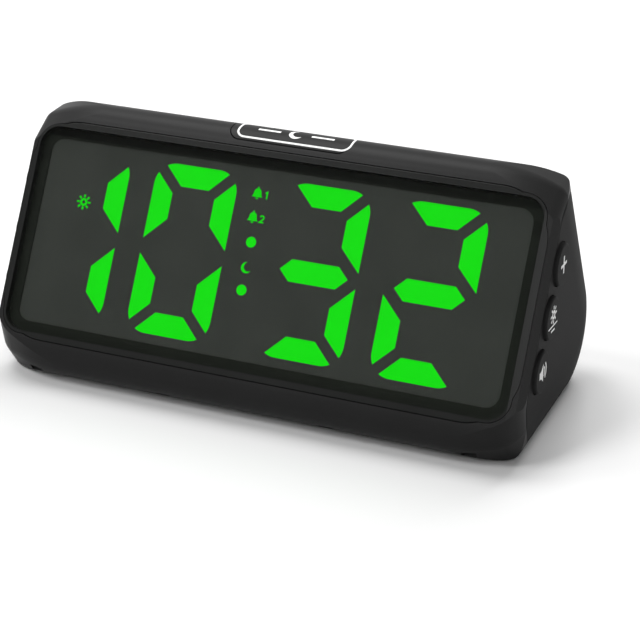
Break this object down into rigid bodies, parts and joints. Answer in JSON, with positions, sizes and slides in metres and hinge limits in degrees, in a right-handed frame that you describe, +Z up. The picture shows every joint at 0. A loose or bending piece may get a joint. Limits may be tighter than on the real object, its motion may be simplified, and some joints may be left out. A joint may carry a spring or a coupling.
{
  "type": "digital alarm clock",
  "caption": "Wedge-shaped table alarm clock with a large seven-segment display behind a smoked lens, a snooze key on the ridge and round push buttons on both ends.",
  "frame": {"origin": "on the table, under the middle of the clock", "axes": "+X to the right along the clock, +Y to the back, +Z up; the display faces -Y and up"},
  "size_m": [0.1554, 0.0696, 0.0696],
  "materials": {
    "case_plastic": "fine moulded grain",
    "panel_plastic": "fine moulded grain",
    "bezel_plastic": "satin",
    "smoked_lens": "smoked, glossy, with an opaque black border",
    "housing_plastic": "matt black",
    "lit_diffuser": "translucent, lit green",
    "colon_diffuser": "translucent, lit green",
    "dark_diffuser": "translucent, smoked, unlit",
    "board_laminate": "solder mask over laminate",
    "led_package": "moulded",
    "screw_steel": "zinc plated",
    "button_plastic": "satin with a printed sign",
    "snooze_plastic": "fine grain with a printed outline",
    "switch_plastic": "moulded",
    "plunger_plastic": "moulded",
    "chip_plastic": "moulded",
    "crystal_can": "drawn can",
    "capacitor_sleeve": "shrunk sleeve",
    "ribbon_film": "laminated film",
    "speaker_steel": "black plated",
    "cone_fabric": "pressed paper pulp",
    "magnet_ferrite": "ground ferrite",
    "jack_plastic": "moulded",
    "contact_nickel": "nickel plated",
    "cell_jacket": "printed sleeve, plain",
    "foot_rubber": "matt"
  },
  "bodies": {
    "clock_body": {"backup_cells": "cell_jacket", "battery_contacts": "contact_nickel", "button_board_screws": "screw_steel", "case_screws": "screw_steel", "clock_chip": "chip_plastic", "colon_dots": "colon_diffuser", "dark_segments": "dark_diffuser", "display_board": "board_laminate", "display_driver": "chip_plastic", "display_lens": "smoked_lens", "display_ribbon": "ribbon_film", "display_screws": "screw_steel", "filter_capacitor": "capacitor_sleeve", "front_bezel": "bezel_plastic", "front_case": "case_plastic", "jack_pin": "contact_nickel", "left_button_board": "board_laminate", "left_button_ribbon": "ribbon_film", "left_end_panel": "panel_plastic", "left_switches": "switch_plastic", "lit_segments": "lit_diffuser", "main_board": "board_laminate", "main_board_screws": "screw_steel", "power_jack": "jack_plastic", "rear_shell": "case_plastic", "right_button_board": "board_laminate", "right_button_ribbon": "ribbon_film", "right_end_panel": "panel_plastic", "right_switches": "switch_plastic", "rubber_feet": "foot_rubber", "segment_housing": "housing_plastic", "segment_leds": "led_package", "snooze_board": "board_laminate", "snooze_board_screws": "screw_steel", "snooze_switch": "switch_plastic", "speaker_cone": "cone_fabric", "speaker_frame": "speaker_steel", "speaker_magnet": "magnet_ferrite", "speaker_screws": "screw_steel", "timing_crystal": "crystal_can"},
    "plus_button_body": {"plus_button": "button_plastic", "plus_plunger": "plunger_plastic"},
    "brightness_button_body": {"brightness_button": "button_plastic", "brightness_plunger": "plunger_plastic"},
    "volume_button_body": {"volume_button": "button_plastic", "volume_plunger": "plunger_plastic"},
    "minus_button_body": {"minus_button": "button_plastic", "minus_plunger": "plunger_plastic"},
    "set_button_body": {"set_button": "button_plastic", "set_plunger": "plunger_plastic"},
    "alarm_button_body": {"alarm_button": "button_plastic", "alarm_plunger": "plunger_plastic"},
    "snooze_body": {"snooze_key": "snooze_plastic", "snooze_plunger": "plunger_plastic"},
    "door_body": {"battery_door": "case_plastic"}
  },
  "joints": [
    {"name": "plus_press", "type": "slide", "parent": "clock_body", "child": "plus_button_body", "axis": [-1, 0, 0], "range_m": [0, 0.0006], "stiffness_N_per_m": 1200, "springref_m": -0.0004},
    {"name": "brightness_press", "type": "slide", "parent": "clock_body", "child": "brightness_button_body", "axis": [-1, 0, 0], "range_m": [0, 0.0006], "stiffness_N_per_m": 1200, "springref_m": -0.0004},
    {"name": "volume_press", "type": "slide", "parent": "clock_body", "child": "volume_button_body", "axis": [-1, 0, 0], "range_m": [0, 0.0006], "stiffness_N_per_m": 1200, "springref_m": -0.0004},
    {"name": "minus_press", "type": "slide", "parent": "clock_body", "child": "minus_button_body", "axis": [1, 0, 0], "range_m": [0, 0.0006], "stiffness_N_per_m": 1200, "springref_m": -0.0004},
    {"name": "set_press", "type": "slide", "parent": "clock_body", "child": "set_button_body", "axis": [1, 0, 0], "range_m": [0, 0.0006], "stiffness_N_per_m": 1200, "springref_m": -0.0004},
    {"name": "alarm_press", "type": "slide", "parent": "clock_body", "child": "alarm_button_body", "axis": [1, 0, 0], "range_m": [0, 0.0006], "stiffness_N_per_m": 1200, "springref_m": -0.0004},
    {"name": "snooze_press", "type": "slide", "parent": "clock_body", "child": "snooze_body", "axis": [0, 0, -1], "range_m": [0, 0.0008], "stiffness_N_per_m": 1000, "springref_m": -0.0005},
    {"name": "battery_door_slide", "type": "slide", "parent": "clock_body", "child": "door_body", "axis": [1, 0, 0], "range_m": [0, 0.006]}
  ]
}
